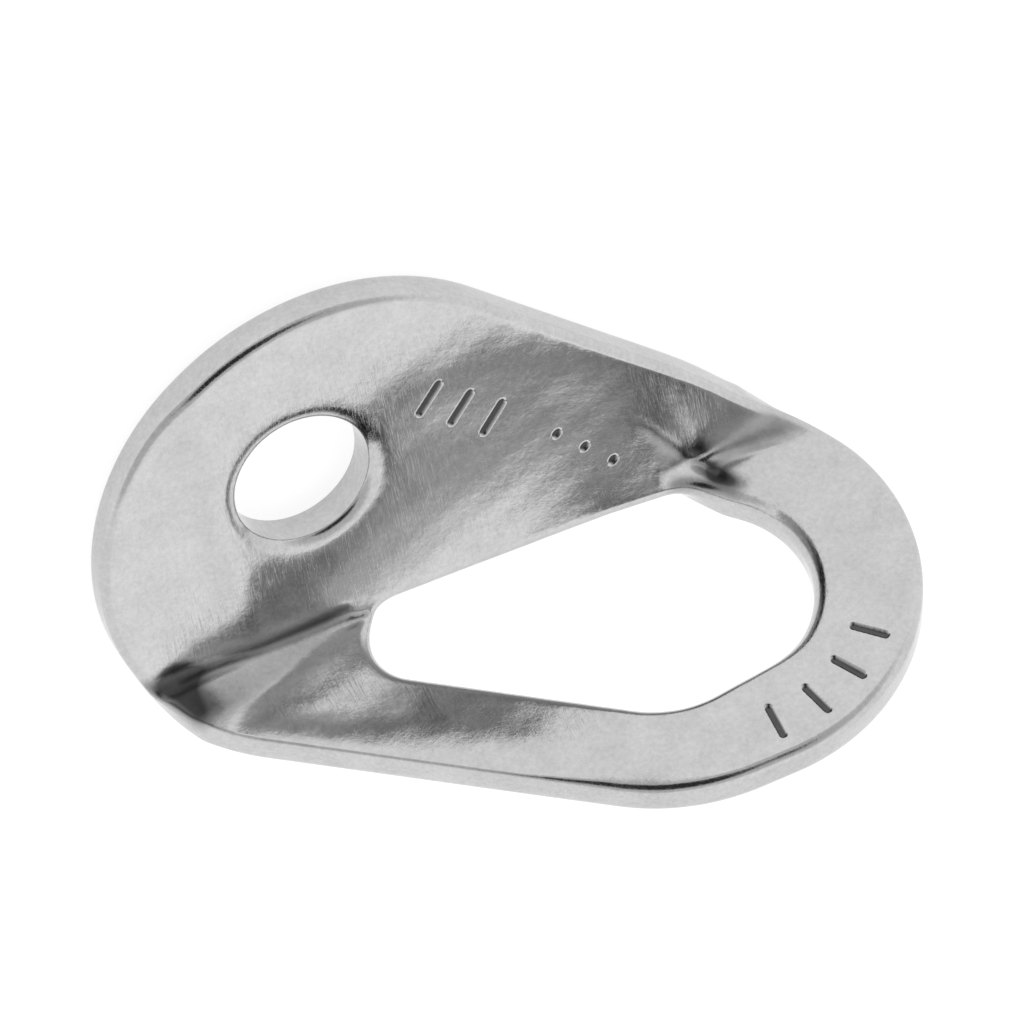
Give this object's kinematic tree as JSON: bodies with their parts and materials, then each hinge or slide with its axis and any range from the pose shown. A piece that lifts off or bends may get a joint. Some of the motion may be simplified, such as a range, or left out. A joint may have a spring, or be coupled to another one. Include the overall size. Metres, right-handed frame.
{
  "type": "bolt-on pad eye hanger",
  "caption": "Stamped stainless plate folded along a diagonal line: a flat leg with a bolt hole, and a raised leg with a large eye for a shackle or carabiner.",
  "frame": {"origin": "on the bolt hole's axis, at the back face of the mounting leg", "axes": "+Z out of the mounting face along the bolt, X along the fold with the eye end towards -X, and the eye leg rises on the +Y side"},
  "size_m": [0.0569, 0.0383, 0.0275],
  "materials": {
    "stainless": "polished stainless steel with fine hairline scratches and softly tumbled edges"
  },
  "bodies": {
    "root": {"hanger_plate": "stainless"}
  },
  "joints": []
}
